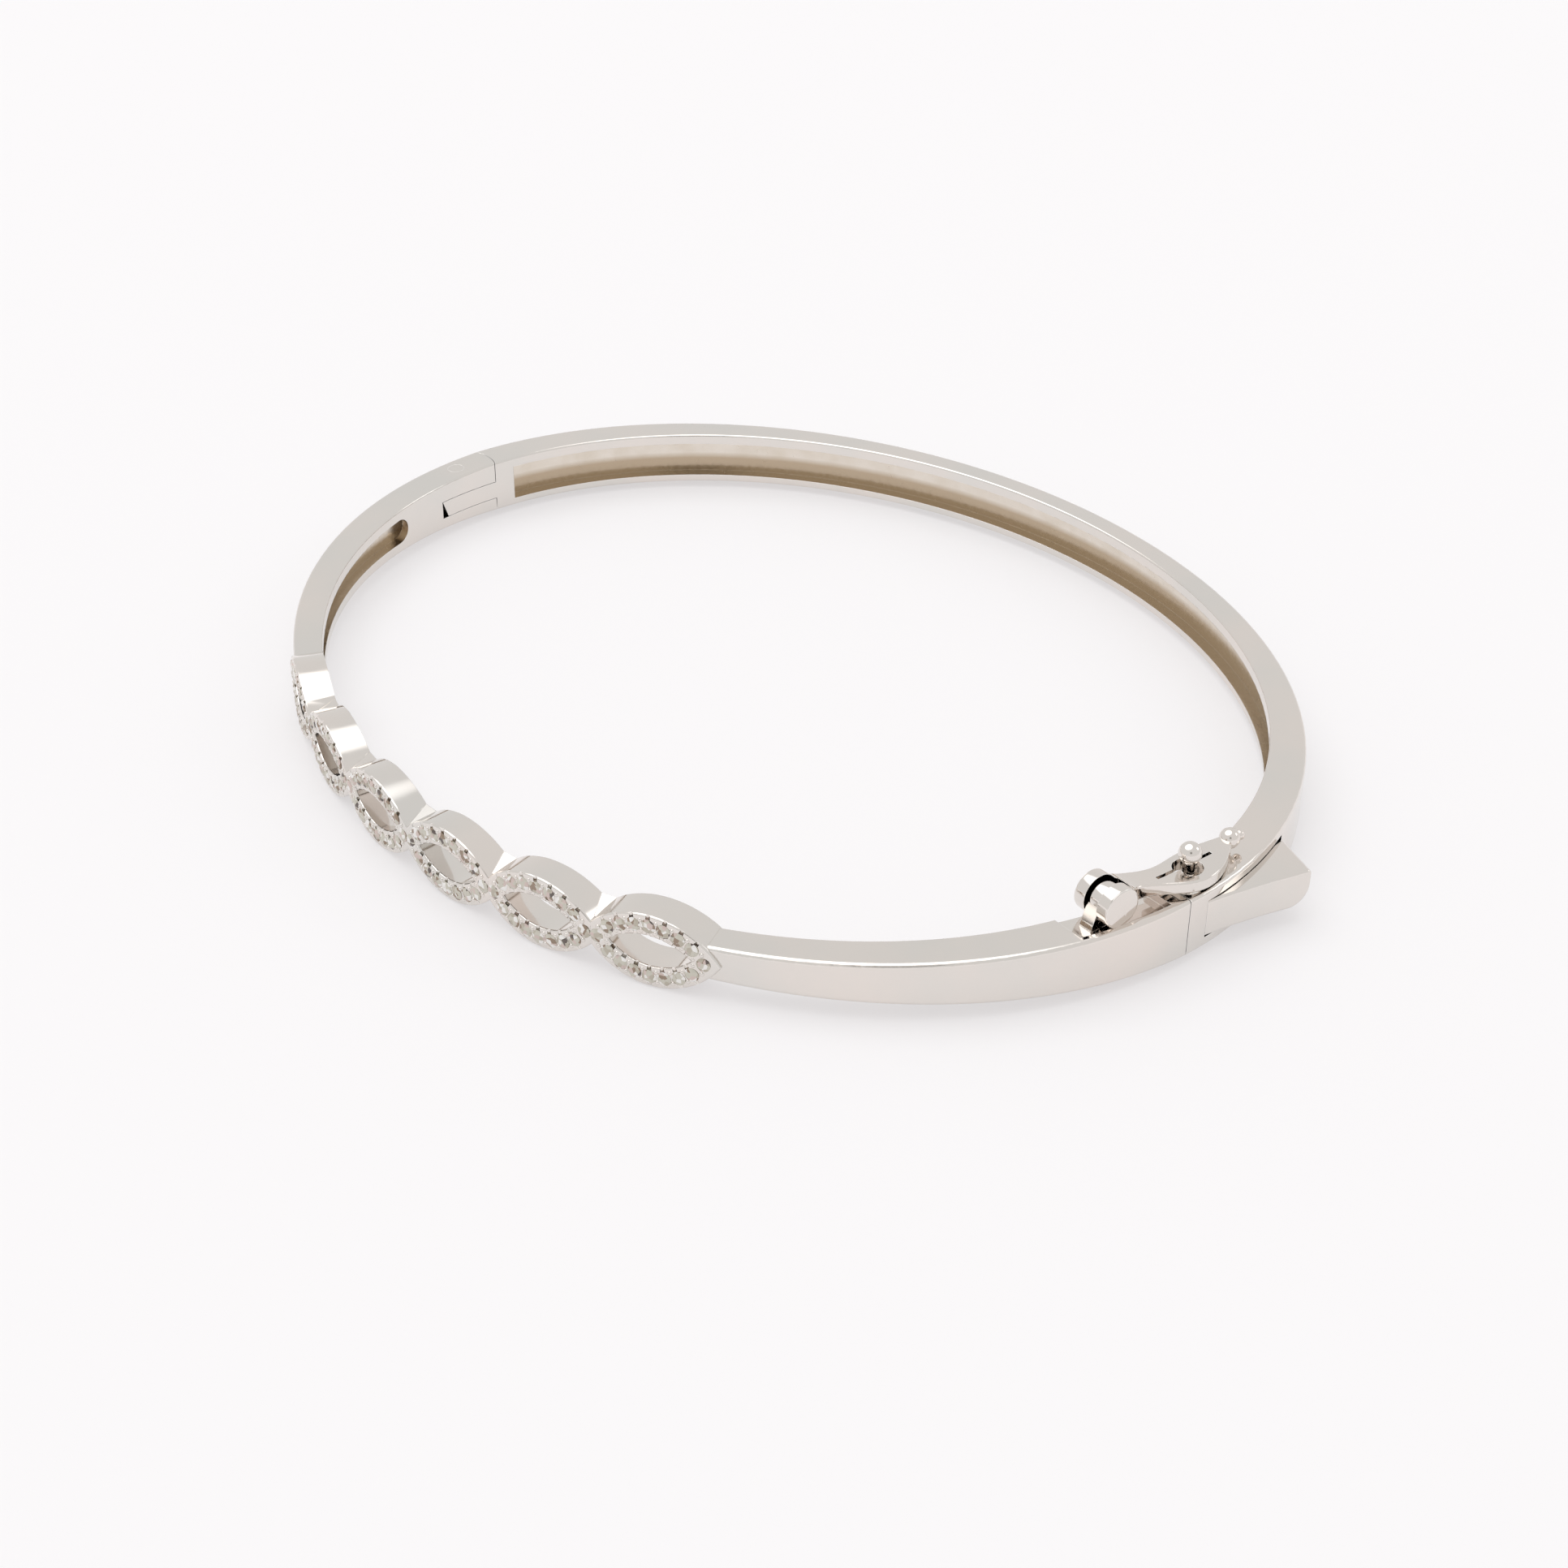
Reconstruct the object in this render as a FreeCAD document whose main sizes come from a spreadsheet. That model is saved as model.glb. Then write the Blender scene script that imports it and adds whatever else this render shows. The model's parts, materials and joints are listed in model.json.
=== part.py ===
import FreeCAD, Part
import math
import os

# Hinged oval bangle, lying flat.  The origin is the centre of the wrist opening at
# mid height, +X runs along the long axis towards the clasp, -Y is the decorated
# front half, +Z is up.  All sizes are in millimetres.

doc = FreeCAD.newDocument("bangle")
sheet = doc.addObject("Spreadsheet::Sheet", "dims")

DIMS = (
    # plan of the oval band
    ("outer_a", 30.9), ("outer_b", 24.8), ("inner_a", 28.7), ("inner_b", 23.4),
    ("band_high", 3.2), ("round_outer", 0.2), ("round_inner", 0.12),
    # trough in the inner face of the rear band
    ("trough_deep", 0.72), ("trough_top", 1.0), ("trough_low", 1.15),
    ("trough_hinge_y", 0.95), ("trough_clasp_y", 10.5),
    # hinge: ears on the front arm, tongue on the rear band
    ("hinge_x", 29.63), ("hinge_y", 2.6), ("rivet_r", 0.5), ("rivet_play", 0.04),
    ("ear_r", 2.4), ("shoulder_r", 2.44), ("tongue_r", 2.02), ("tongue_top_r", 2.38),
    ("slot_r", 2.43),
    ("tongue_top", 0.3), ("tongue_low", 0.75), ("slot_play", 0.03),
    # front arms: half heights at the joints and at the links
    ("arm_joint_half", 1.6), ("hinge_link_half", 0.98), ("clasp_link_half", 0.92),
    ("arm_trough_deep", 0.62), ("arm_trough_half", 0.75), ("arm_trough_far_half", 0.4),
    ("arm_trough_y", 8.3),
    # marquise links
    ("links", 6), ("link_start", -16.35), ("link_pitch", 6.2), ("link_half_high", 2.0),
    ("link_half_long", 3.6), ("link_proud", 0.15), ("link_rim", 1.15),
    ("stone_r", 0.34), ("stone_row", 0.58), ("stone_reach", 2.74), ("stone_crown", 0.13),
    ("stone_deep", 0.36), ("culet_r", 0.04), ("table_r", 0.19), ("girdle", 0.05), ("row_steps", 8),
    ("link_edge", 0.12), ("groove_r", 0.12), ("groove_half", 0.75), ("groove_lift", 0.02),
    ("bridge_half_long", 0.65), ("bridge_inner_half", 1.15), ("bridge_outer_half", 0.72),
    ("bridge_deep", 1.25), ("arm_lap", 0.6),
    # clasp: box in the arm, block on the rear band
    ("clasp_y", 0.4), ("clasp_gap", 0.025), ("box_half_high", 1.0), ("leaf_half_high", 0.85),
    ("slot_half_high", 0.95), ("nose_x", 29.45), ("nose_y", 3.45), ("nose_r", 0.3),
    ("tab_half_high", 1.0), ("tab_play", 0.06), ("tab_round", 0.13),
    ("tab_low_r", 1.2), ("tab_top_r", 0.25),
    # safety catch
    ("catch_x", 29.08), ("catch_y", 3.4), ("catch_z", 2.35), ("knuckle_r", 0.8),
    ("knuckle_half", 0.38), ("ear_disc_r", 1.0), ("ear_in", 0.43), ("ear_out", 1.08),
    ("catch_pin_r", 0.3), ("catch_pin_play", 0.03), ("catch_pin_half", 0.8),
    ("seat_z", 1.15), ("seat_rim", 0.4), ("seat_y0", 5.5), ("seat_y1", 0.5),
    ("post_foot", 1.25), ("plate_z", 1.8), ("plate_round", 0.12),
    ("stud_x", 29.6), ("stud_y", 1.4), ("stud_r", 0.3), ("stud_ball_r", 0.57), ("stud_z", 3.2),
    ("keyhole_r", 0.76), ("keyhole_x", 29.62), ("keyhole_y", 1.32), ("slit_half", 0.1),
    ("slit_x", 29.42), ("slit_y0", 0.5), ("slit_y1", 3.05),
    ("bead_r", 0.52), ("bead_x", 29.0), ("bead_y", 4.75), ("bead_z", 2.38),
    ("tip_r", 0.27), ("tip_y", 5.42), ("tip_z", 2.3),
)
for row, (alias, number) in enumerate(DIMS, start=1):
    sheet.set("A%d" % row, alias)
    sheet.set("B%d" % row, str(number))
    sheet.setAlias("B%d" % row, alias)
doc.recompute()
dim = dict((alias, float(sheet.get(alias))) for alias, number in DIMS)


# ---------------------------------------------------------------- builders
def bound(kind, name, sizes):
    """A document object whose properties follow expressions on the sheet."""
    item = doc.addObject(kind, name)
    for prop, text in sizes.items():
        item.setExpression(prop, text)
    return item


def oval(name, grow_outer, half):
    """Upright elliptical prism, centred on mid height.  grow_outer: (a, b) texts."""
    edge = bound("Part::Ellipse", name + "_edge",
                 {"MajorRadius": grow_outer[0], "MinorRadius": grow_outer[1]})
    solid = doc.addObject("Part::Extrusion", name)
    solid.Base = edge
    solid.DirMode = "Custom"
    solid.Dir = FreeCAD.Vector(0, 0, 1)
    solid.Solid = True
    solid.Symmetric = True
    solid.setExpression("LengthFwd", half + " * 2")
    return solid


def box(name, low, high):
    """Block between two corners given as triples of texts."""
    sizes = {}
    for axis, side, lo, hi in zip("xyz", ("Length", "Width", "Height"), low, high):
        sizes["Placement.Base." + axis] = lo
        sizes[side] = "(%s) - (%s)" % (hi, lo)
    return bound("Part::Box", name, sizes)


def upright(name, radius, x, y, low, high):
    """Cylinder with a vertical axis."""
    return bound("Part::Cylinder", name, {
        "Radius": radius, "Height": "(%s) - (%s)" % (high, low),
        "Placement.Base.x": x, "Placement.Base.y": y, "Placement.Base.z": low})


def across(name, radius, low, high, y, z):
    """Cylinder lying along X."""
    item = bound("Part::Cylinder", name, {
        "Radius": radius, "Height": "(%s) - (%s)" % (high, low)})
    item.Placement.Rotation = FreeCAD.Rotation(FreeCAD.Vector(0, 1, 0), 90)
    for axis, text in zip("xyz", (low, y, z)):
        item.setExpression("Placement.Base." + axis, text)
    return item


def cut(name, base, tool):
    item = doc.addObject("Part::Cut", name)
    item.Base = base
    item.Tool = tool
    return item


def fuse(name, *items):
    item = doc.addObject("Part::MultiFuse", name)
    item.Shapes = list(items)
    item.Refine = True
    return item


def common(name, *items):
    item = doc.addObject("Part::MultiCommon", name)
    item.Shapes = list(items)
    return item


def coded(name, shape):
    """Feature for a plan outline that no primitive draws."""
    item = doc.addObject("Part::Feature", name)
    item.Shape = shape
    return item


def prism(points, low, high):
    """Upright prism on a closed run of (x, y) corners."""
    corners = [FreeCAD.Vector(x, y, low) for x, y in points]
    face = Part.Face(Part.makePolygon(corners + corners[:1]))
    return face.extrude(FreeCAD.Vector(0, 0, high - low))


def side_prism(points, low, high):
    """Prism along X on a closed run of (y, z) corners."""
    corners = [FreeCAD.Vector(low, y, z) for y, z in points]
    face = Part.Face(Part.makePolygon(corners + corners[:1]))
    return face.extrude(FreeCAD.Vector(high - low, 0, 0))


def round_ended_trough(wide_y, wide_half, far_y, far_half):
    """Tapering channel along X whose wide end is half round."""
    wide = [FreeCAD.Vector(-40, wide_y, side * wide_half) for side in (-1, 1)]
    far = [FreeCAD.Vector(-40, far_y, side * far_half) for side in (-1, 1)]
    tip = FreeCAD.Vector(-40, wide_y + wide_half, 0)
    edges = [Part.Arc(wide[0], tip, wide[1]).toShape(), Part.makeLine(wide[1], far[1]),
             Part.makeLine(far[1], far[0]), Part.makeLine(far[0], wide[0])]
    return Part.Face(Part.Wire(edges)).extrude(FreeCAD.Vector(40, 0, 0))


def soften(name, base, rules):
    """Fillet of every edge for which a rule returns a radius."""
    doc.recompute()
    edges = []
    for number, edge in enumerate(base.Shape.Edges, start=1):
        radius = rules(edge)
        if radius:
            edges.append((number, radius, radius))
    item = doc.addObject("Part::Fillet", name)
    item.Base = base
    item.Edges = edges
    return item


nodes = []


def piece(label, item):
    """Names a finished piece; the label is its file name."""
    item.Label = label
    nodes.append(item)
    return item


# ---------------------------------------------------------------- places along the front
def front_point(angle):
    """Point of the outer oval; angle in radians, -pi/2 is the middle of the front."""
    return FreeCAD.Vector(dim["outer_a"] * math.cos(angle), dim["outer_b"] * math.sin(angle), 0)


def front_normal(angle):
    """Outward normal of the outer oval."""
    normal = FreeCAD.Vector(dim["outer_b"] * math.cos(angle), dim["outer_a"] * math.sin(angle), 0)
    return normal.normalize()


def station(length):
    """Angle of the place that lies a given arc length from the middle of the front."""
    steps = 400
    angle = -math.pi / 2
    for step in range(steps):
        speed = math.hypot(dim["outer_a"] * math.sin(angle), dim["outer_b"] * math.cos(angle))
        angle += length / steps / speed
    return angle


def sector(first, last, reach=8.0, half=4.0):
    """Wedge of the band between two angles, bounded by planes square to the band."""
    rim = []
    for angle, sides in ((first, (-reach, reach)), (last, (reach, -reach))):
        for side in sides:
            spot = front_point(angle) + front_normal(angle) * side
            rim.append((spot.x, spot.y))
    return prism(rim, -half, half)


def facing(angle, depth):
    """Placement on the front with its Z outwards and its X along the band."""
    normal = front_normal(angle)
    along = FreeCAD.Vector(0, 0, 1).cross(normal)
    turn = FreeCAD.Rotation(along, FreeCAD.Vector(0, 0, 1), normal, "ZXY")
    return FreeCAD.Placement(front_point(angle) + normal * depth, turn)


def lens_radius():
    """Radius of the two arcs of a marquise outline."""
    long, high = dim["link_half_long"], dim["link_half_high"]
    return (long * long + high * high) / (2 * high)


def lens(inset, angle):
    """Marquise prism through the band, its outline moved in by inset."""
    radius = lens_radius()
    drop = radius - dim["link_half_high"]
    parts = []
    for side in (-1, 1):
        base = FreeCAD.Vector(0, side * drop, -4)
        parts.append(Part.makeCylinder(radius - inset, 6, base))
    shape = parts[0].common(parts[1])
    shape.Placement = facing(angle, 0)
    return shape


def bend(angle):
    """Radius of curvature of the outer oval."""
    speed = math.hypot(dim["outer_a"] * math.sin(angle), dim["outer_b"] * math.cos(angle))
    return speed ** 3 / (dim["outer_a"] * dim["outer_b"])


def band_thickness(angle):
    """Distance from the outer oval to the inner one, measured square to the outer."""
    spot = front_point(angle)
    normal = front_normal(angle)
    square = (normal.x / dim["inner_a"]) ** 2 + (normal.y / dim["inner_b"]) ** 2
    mixed = spot.x * normal.x / dim["inner_a"] ** 2 + spot.y * normal.y / dim["inner_b"] ** 2
    rest = (spot.x / dim["inner_a"]) ** 2 + (spot.y / dim["inner_b"]) ** 2 - 1
    return (mixed - math.sqrt(mixed * mixed - square * rest)) / square


link_count = int(dim["links"])
bounds = [station(dim["link_start"] + dim["link_pitch"] * k) for k in range(link_count + 1)]
middles = [station(dim["link_start"] + dim["link_pitch"] * (k + 0.5)) for k in range(link_count)]


# ---------------------------------------------------------------- band blanks
def long_edges(edge):
    """Radii for the long edges of a band blank, outer and inner."""
    if edge.Length < 12:
        return 0
    spot = edge.valueAt(edge.FirstParameter)
    outer = math.hypot(spot.x / dim["outer_a"], spot.y / dim["outer_b"]) > 0.98
    return dim["round_outer"] if outer else dim["round_inner"]


def blank(name, half, profile=None):
    """Oval ring with softened long edges, trimmed to a side profile when one is given."""
    ring = cut(name + "_ring",
               oval(name + "_out", ("dims.outer_a", "dims.outer_b"), half),
               oval(name + "_in", ("dims.inner_a", "dims.inner_b"), half + " * 2"))
    if profile is not None:
        ring = common(name + "_trim", ring, profile)
    return soften(name + "_soft", ring, long_edges)


# ---------------------------------------------------------------- rear half
HX, HY = "-dims.hinge_x", "-dims.hinge_y"
FAR = "40"

rear_blank = blank("rear", "dims.band_high / 2")
rear_space = fuse("rear_space",
                  box("rear_left", ("-" + FAR, HY, "-3"), ("0", FAR, "3")),
                  box("rear_right", ("-1", "dims.clasp_y + dims.clasp_gap", "-3"), (FAR, FAR, "3")))
rear_half = common("rear_half", rear_blank, rear_space)
shouldered = cut("shouldered", rear_half,
                 upright("shoulder", "dims.shoulder_r", HX, HY, "-3", "3"))

tongue_low = "-dims.tongue_low"
tongue_space = fuse("tongue_space",
                    bound("Part::Cone", "tongue_end", {
                        "Radius1": "dims.tongue_r", "Radius2": "dims.tongue_top_r",
                        "Height": "dims.tongue_top + dims.tongue_low", "Placement.Base.x": HX,
                        "Placement.Base.y": HY, "Placement.Base.z": tongue_low}),
                    box("tongue_body", ("-33", HY, tongue_low), ("-26", "0.4", "dims.tongue_top")))
tongue = common("tongue", cut("tongue_ring",
                              oval("tongue_out", ("dims.outer_a", "dims.outer_b"), "dims.band_high"),
                              oval("tongue_in", ("dims.inner_a", "dims.inner_b"), "dims.band_high * 2")),
                tongue_space)
bored = cut("bored", fuse("shoulder_and_tongue", shouldered, tongue),
            upright("tongue_bore", "dims.rivet_r + dims.rivet_play", HX, HY, "-3", "3"))

rear_trough = common("rear_trough",
                     oval("trough_out",
                          ("dims.inner_a + dims.trough_deep", "dims.inner_b + dims.trough_deep"), FAR),
                     fuse("trough_space",
                          box("trough_left", ("-" + FAR, "dims.trough_hinge_y", "-dims.trough_low"),
                              ("0", FAR, "dims.trough_top")),
                          box("trough_right", ("-1", "dims.trough_clasp_y", "-dims.trough_low"),
                              (FAR, FAR, "dims.trough_top"))))
hollowed = cut("hollowed", bored, rear_trough)

# Plan of the slot and recess that the sprung leaf and the thumb tab move in.
LEAF_IN, LEAF_OUT = 29.78, 30.10
ROOT_IN, ROOT_OUT = 29.07, 29.35
slot_plan = ((29.37, 0.0), (30.40, 0.0), (30.40, 2.0), (29.0, 2.2), (29.37, 1.0))
recess_plan = ((29.20, 1.64), (33.0, 1.64), (33.0, 8.56), (27.85, 8.56), (29.0, 2.2))
slot_shape = prism(slot_plan, -dim["slot_half_high"], dim["slot_half_high"])
recess_half = dim["tab_half_high"] + dim["tab_play"]
recess_shape = prism(recess_plan, -recess_half, recess_half)
pocket_plan = ((ROOT_IN, 0.0), (ROOT_OUT, 0.0), (ROOT_OUT, 1.0), (ROOT_IN, 1.0))
pocket_shape = prism(pocket_plan, -dim["leaf_half_high"], dim["leaf_half_high"])
clasp_spaces = coded("clasp_spaces", slot_shape.fuse([recess_shape, pocket_shape]))
piece("rear_band", cut("rear_band", hollowed, clasp_spaces))

stud_post = upright("stud_post", "dims.stud_r", "dims.stud_x", "dims.stud_y",
                    "dims.band_high / 2", "dims.stud_z")
stud_ball = bound("Part::Sphere", "stud_ball", {
    "Radius": "dims.stud_ball_r", "Placement.Base.x": "dims.stud_x",
    "Placement.Base.y": "dims.stud_y", "Placement.Base.z": "dims.stud_z"})
piece("ball_stud", fuse("ball_stud", stud_post, stud_ball))

root_plan = ((ROOT_IN, 1.0), (ROOT_OUT, 1.0), (ROOT_OUT - 0.08, -3.05), (ROOT_IN - 0.08, -3.05))
piece("leaf_root", coded("leaf_root", prism(root_plan, -dim["leaf_half_high"], dim["leaf_half_high"])))

# ---------------------------------------------------------------- sprung thumb tongue
leaf_plan = ((LEAF_IN, 5.4), (LEAF_OUT, 5.4), (LEAF_OUT, -0.36), (30.38, -0.36), (30.33, -0.95),
             (30.06, -1.10), (29.74, -3.45), (29.45, -3.45), (29.76, -1.10), (LEAF_IN, -0.36))
leaf_blade = coded("leaf_blade", prism(leaf_plan, -dim["leaf_half_high"], dim["leaf_half_high"]))
leaf_nose = upright("leaf_nose", "dims.nose_r", "dims.nose_x", "-dims.nose_y",
                    "-dims.leaf_half_high", "dims.leaf_half_high")
piece("spring_leaf", fuse("spring_leaf", leaf_blade, leaf_nose))

# The tab leaves the band flush and flares out to a rounded, slightly oblique far end.
TAB_START = 1.665
tab_outside = ((30.83, TAB_START), (31.0, 3.0), (31.24, 4.4), (31.52, 5.8), (31.86, 7.2), (32.0, 7.9))
tab_inside = ((32.0, 7.9), (29.0, 9.0), (29.3, 8.3), (LEAF_IN, 5.4), (LEAF_OUT, 5.4),
              (LEAF_OUT, TAB_START), (30.83, TAB_START))
TAB_SIDE_X, TAB_END_Y = 28.0, 8.83
TAB_END_RUN = FreeCAD.Vector(6, -1.93, 0)


def tab_solid():
    """Upright prism on the tab's plan, with a curved outside."""
    low = -dim["tab_half_high"]
    curve = Part.BSplineCurve()
    curve.interpolate([FreeCAD.Vector(x, y, low) for x, y in tab_outside])
    edges = [curve.toShape()]
    inside = [FreeCAD.Vector(x, y, low) for x, y in tab_inside]
    for start, end in zip(inside, inside[1:]):
        edges.append(Part.makeLine(start, end))
    return Part.Face(Part.Wire(edges)).extrude(FreeCAD.Vector(0, 0, 2 * dim["tab_half_high"]))


def tab_side():
    """Side profile with two rounded far corners, run along the oblique end."""
    half = dim["tab_half_high"]
    end = TAB_END_Y
    low_r, top_r = dim["tab_low_r"], dim["tab_top_r"]
    slant = math.sqrt(0.5)

    def spot(y, z):
        return FreeCAD.Vector(TAB_SIDE_X, y, z)

    edges = [
        Part.makeLine(spot(0, -half), spot(end - low_r, -half)),
        Part.Arc(spot(end - low_r, -half), spot(end - low_r + low_r * slant, -half + low_r - low_r * slant),
                 spot(end, -half + low_r)).toShape(),
        Part.makeLine(spot(end, -half + low_r), spot(end, half - top_r)),
        Part.Arc(spot(end, half - top_r), spot(end - top_r + top_r * slant, half - top_r + top_r * slant),
                 spot(end - top_r, half)).toShape(),
        Part.makeLine(spot(end - top_r, half), spot(0, half)),
        Part.makeLine(spot(0, half), spot(0, -half))]
    return Part.Face(Part.Wire(edges)).extrude(TAB_END_RUN)


def tab_edges(edge):
    """Softens the long outer edges of the thumb tab and its far end."""
    spot = edge.CenterOfMass
    on_outside = spot.x > 31.0 and spot.y > 2.0 and edge.Length > 0.4
    return dim["tab_round"] if on_outside else 0


tab_blank = common("tab_blank", coded("tab_plan", tab_solid()), coded("tab_side", tab_side()))
piece("thumb_tab", soften("thumb_tab", tab_blank, tab_edges))


# ---------------------------------------------------------------- front half: arms
def arm_profile(joint_y, link_angle, link_half):
    """Side profile (y, half height) of an arm: straight, full height at the joint."""
    link_y = front_point(link_angle).y
    slope = (dim["arm_joint_half"] - link_half) / (joint_y - link_y)
    high_y, low_y = joint_y + 3, link_y - 3
    high_half = dim["arm_joint_half"] + slope * 3
    low_half = link_half - slope * 3
    return ((high_y, -high_half), (low_y, -low_half), (low_y, low_half), (high_y, high_half))


hinge_profile = arm_profile(dim["ear_r"] - dim["hinge_y"], bounds[0], dim["hinge_link_half"])
hinge_side = coded("hinge_side", side_prism(hinge_profile, -40, -2))
hinge_blank = blank("hinge", "dims.band_high", hinge_side)
not_ear = cut("not_ear", box("behind_ear", ("-" + FAR, HY, "-3"), ("0", "12", "3")),
              upright("ear_end", "dims.ear_r", HX, HY, "-4", "4"))
slot_low, slot_high = "-dims.tongue_low - dims.slot_play", "dims.tongue_top + dims.slot_play"
tongue_slot = fuse("tongue_slot",
                   upright("slot_end", "dims.slot_r", HX, HY, slot_low, slot_high),
                   box("slot_body", ("-33", HY, slot_low), ("-26", "1", slot_high)))
arm_sector = coded("arm_sector", sector(-math.pi, station(dim["link_start"] + dim["arm_lap"])).fuse(
    prism(((-40, -3), (-20, -3), (-20, 3), (-40, 3)), -4, 4)))
hinge_body = cut("hinge_body", common("hinge_piece", hinge_blank, arm_sector),
                 fuse("hinge_spaces", not_ear, tongue_slot, coded("hinge_seat", lens(0, middles[0])),
                      upright("ear_bore", "dims.rivet_r", HX, HY, "-3", "3")))

arm_channel = coded("arm_channel", round_ended_trough(-dim["arm_trough_y"], dim["arm_trough_half"],
                                                      front_point(bounds[0]).y + 1.0,
                                                      dim["arm_trough_far_half"]))
arm_trough = common("arm_trough",
                    oval("arm_trough_out",
                         ("dims.inner_a + dims.arm_trough_deep", "dims.inner_b + dims.arm_trough_deep"), FAR),
                    arm_channel)
piece("hinge_arm", cut("hinge_arm", hinge_body, arm_trough))
rivet_bar = upright("rivet_bar", "dims.rivet_r", HX, HY, "-dims.band_high", "dims.band_high")
piece("hinge_rivet", common("hinge_rivet", rivet_bar, hinge_side))

clasp_profile = arm_profile(dim["clasp_y"], bounds[-1], dim["clasp_link_half"])
clasp_side = coded("clasp_side", side_prism(clasp_profile, 2, 40))
clasp_blank = blank("clasp", "dims.band_high", clasp_side)
last_end = dim["link_start"] + link_count * dim["link_pitch"]
clasp_sector = coded("clasp_sector", sector(station(last_end - dim["arm_lap"]), 0.1))
box_plan = ((29.0, 0.9), (30.15, 0.9), (30.15, -0.30), (30.44, -0.30), (30.12, -4.3), (28.72, -4.3))
box_space = coded("box_space", prism(box_plan, -dim["box_half_high"], dim["box_half_high"]))
joint_cut = box("joint_cut", ("20", "dims.clasp_y - dims.clasp_gap", "-3"), (FAR, "12", "3"))
seat = common("seat",
              oval("seat_oval", ("dims.outer_a - dims.seat_rim", "dims.outer_b - dims.seat_rim"), FAR),
              box("seat_box", ("20", "-dims.seat_y0", "dims.seat_z"), (FAR, "-dims.seat_y1", "3")))
piece("clasp_arm", cut("clasp_arm", common("clasp_piece", clasp_blank, clasp_sector),
                       fuse("clasp_cuts", box_space, joint_cut, seat,
                            coded("clasp_seat", lens(0, middles[-1])))))


# ---------------------------------------------------------------- front half: links
def stone_spots():
    """Places of a link's stones: one on each tip, the rest along both arcs."""
    radius = lens_radius()
    drop = radius - dim["link_half_high"]
    row = radius - dim["stone_row"]
    reach = math.asin(dim["stone_reach"] / row)
    steps = int(dim["row_steps"])
    spots = [(-dim["stone_reach"], 0), (dim["stone_reach"], 0)]
    for side in (-1, 1):
        for step in range(1, steps):
            turn = -reach + 2 * reach * step / steps
            spots.append((row * math.sin(turn), side * (row * math.cos(turn) - drop)))
    return spots


def groove(spot, angle, depth):
    """Bright-cut groove that runs through a stone's seat, from the window to the outer edge."""
    radius = lens_radius()
    side = 1 if spot[1] > 0 else -1
    hub = FreeCAD.Vector(0, -side * (radius - dim["link_half_high"]), 0)
    middle = FreeCAD.Vector(spot[0], spot[1], dim["girdle"] + dim["groove_lift"])
    way = (middle - hub)
    way.z = 0
    way.normalize()
    bar = Part.makeCylinder(dim["groove_r"], 2 * dim["groove_half"], middle - way * dim["groove_half"], way)
    bar.Placement = facing(angle, depth).multiply(bar.Placement)
    return bar


def stone(spot, angle, depth):
    """Round stone: flat table, crown, girdle, pavilion and a small flat culet."""
    run = ((0, -dim["stone_deep"]), (dim["culet_r"], -dim["stone_deep"]), (dim["stone_r"], 0),
           (dim["stone_r"], dim["girdle"]), (dim["table_r"], dim["stone_crown"]), (0, dim["stone_crown"]))
    corners = [FreeCAD.Vector(r, 0, z) for r, z in run]
    face = Part.Face(Part.makePolygon(corners + corners[:1]))
    shape = face.revolve(FreeCAD.Vector(0, 0, 0), FreeCAD.Vector(0, 0, 1), 360)
    shape.Placement = facing(angle, depth).multiply(
        FreeCAD.Placement(FreeCAD.Vector(spot[0], spot[1], 0), FreeCAD.Rotation()))
    return shape


def surface_drop(along, angle):
    """How far the oval falls behind its tangent at a distance along it."""
    return along * along / (2 * bend(angle))


link_ring = cut("link_ring",
                oval("link_out", ("dims.outer_a + dims.link_proud", "dims.outer_b + dims.link_proud"),
                     "dims.link_half_high * 2"),
                oval("link_in", ("dims.inner_a", "dims.inner_b"), "dims.link_half_high * 3"))


def bridge(angle):
    """Bar between two links, its top and underside sloping away towards the front."""
    half = dim["bridge_half_long"]
    back = -band_thickness(angle)
    front = back + dim["bridge_deep"]
    inner, outer = dim["bridge_inner_half"], dim["bridge_outer_half"]
    corners = [FreeCAD.Vector(-half, y, z)
               for y, z in ((-inner, back), (inner, back), (outer, front), (-outer, front))]
    bar = Part.Face(Part.makePolygon(corners + corners[:1])).extrude(FreeCAD.Vector(2 * half, 0, 0))
    bar.Placement = facing(angle, 0)
    return bar


bridges = piece("link_bridges", coded("link_bridges",
                                      Part.makeCompound([bridge(angle) for angle in bounds[1:-1]])))


def link_edges(edge):
    """Softens the outline and window edges of a link's front."""
    spot = edge.valueAt((edge.FirstParameter + edge.LastParameter) / 2)
    front = math.hypot(spot.x / (dim["outer_a"] + dim["link_proud"]),
                       spot.y / (dim["outer_b"] + dim["link_proud"]))
    on_front = front > 0.998 and edge.Length > 2
    return dim["link_edge"] if on_front else 0


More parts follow.
